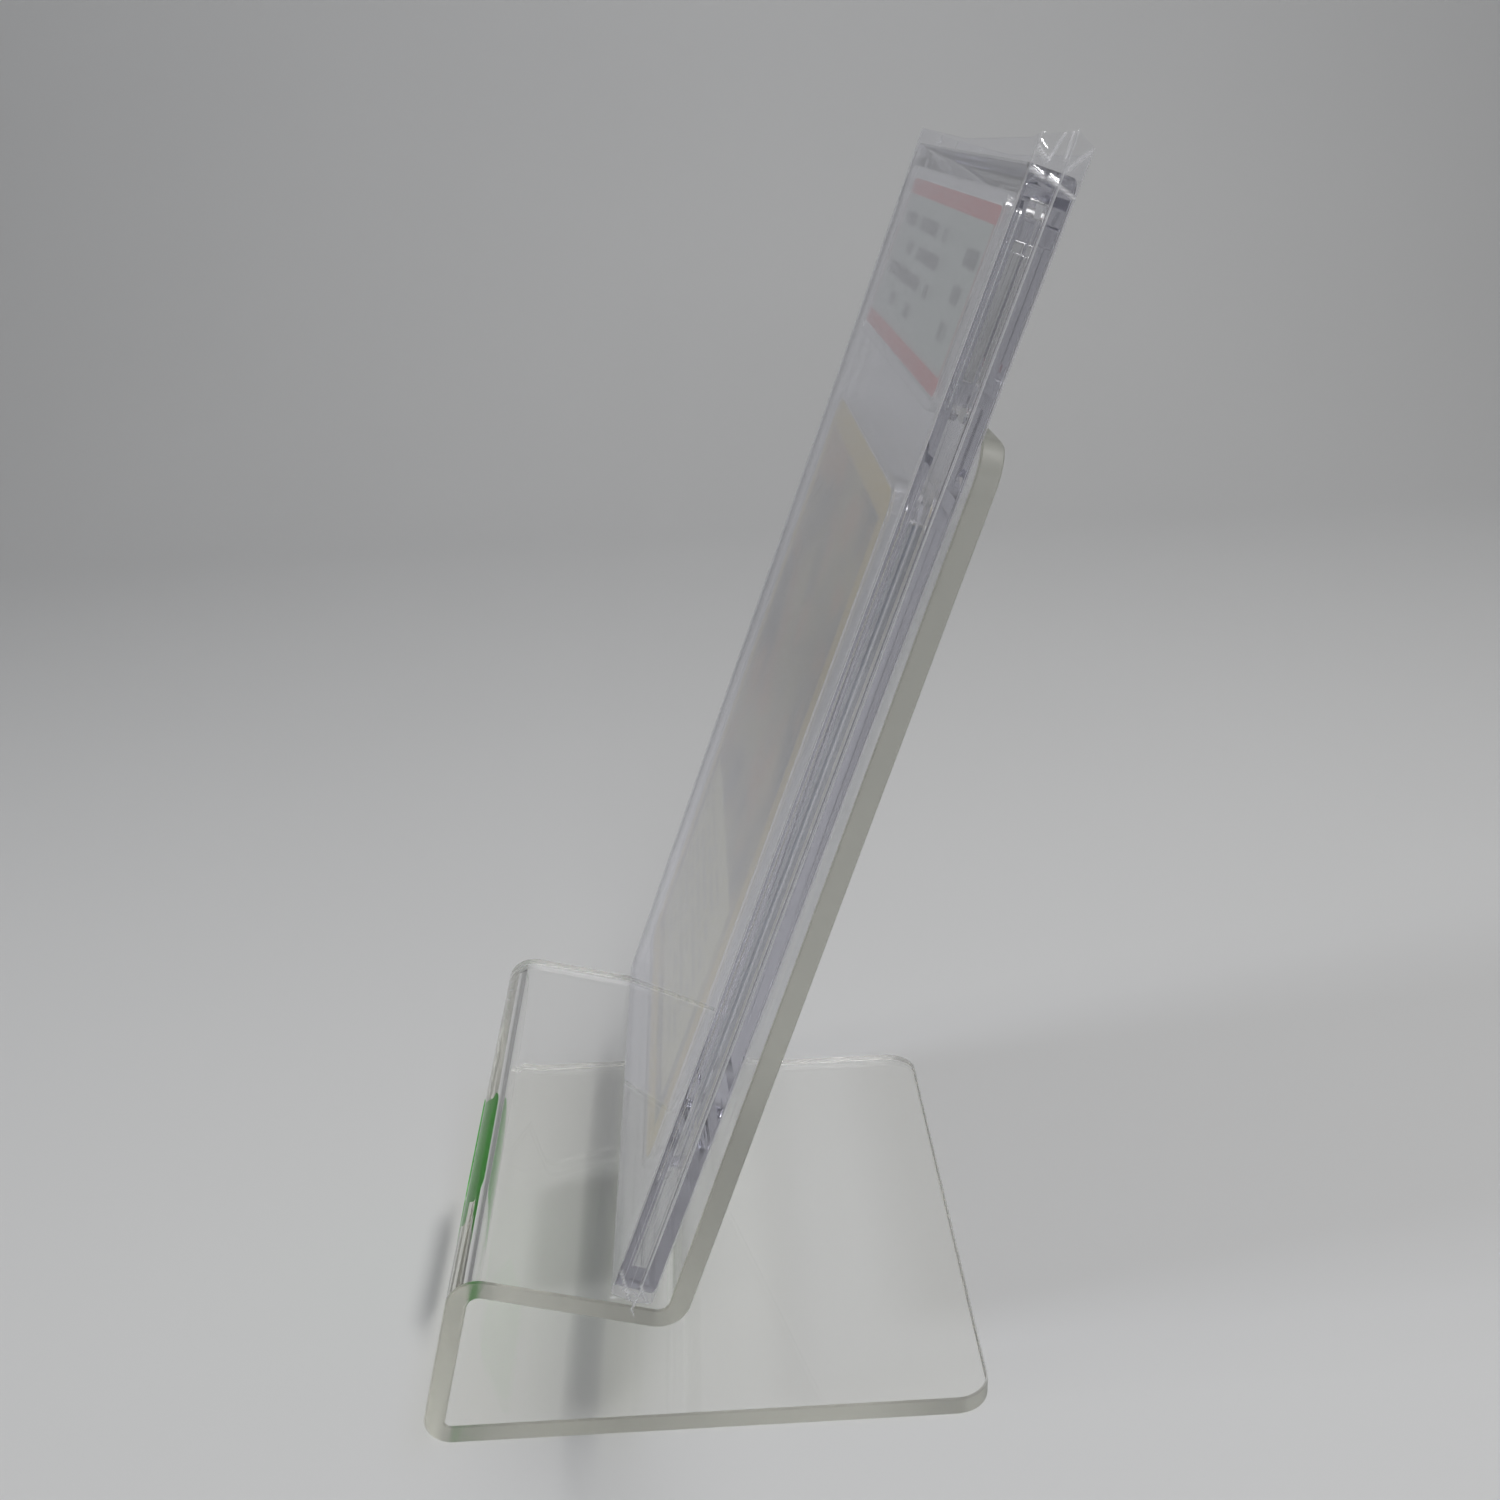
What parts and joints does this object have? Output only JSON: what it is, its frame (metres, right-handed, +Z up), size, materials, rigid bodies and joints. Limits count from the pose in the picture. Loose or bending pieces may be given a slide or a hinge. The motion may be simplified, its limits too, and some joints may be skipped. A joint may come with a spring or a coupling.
{
  "type": "card display stand",
  "caption": "Heat-bent clear acrylic easel stand with a low front shelf, holding a welded clear card case in an open-topped film bag.",
  "frame": {"origin": "centre of the base's flat underside", "axes": "+Z up, -Y the front that the display faces, +X the display's right side seen from behind it"},
  "size_m": [0.0847, 0.0795, 0.1535],
  "materials": {
    "acrylic": "clear, polished faces, satin laser-cut edges",
    "green_vinyl": "glossy self-adhesive vinyl",
    "case_plastic": "clear moulded polystyrene with a faint violet cast",
    "printed_card": "coated printed card",
    "label_paper": "printed paper",
    "film": "thin glossy clear film"
  },
  "bodies": {
    "stand": {"stand_sheet": "acrylic", "front_label": "green_vinyl"},
    "bag": {"sleeve": "film"},
    "case": {"case_front": "case_plastic", "case_back": "case_plastic", "card": "printed_card", "title_label": "label_paper"}
  },
  "joints": [
    {"name": "bag_lift", "type": "slide", "parent": "stand", "child": "bag", "axis": [0, 0.353, 0.9356], "range_m": [0, 0.11]},
    {"name": "case_pull", "type": "slide", "parent": "bag", "child": "case", "axis": [0, 0.353, 0.9356], "range_m": [0, 0.145]}
  ]
}
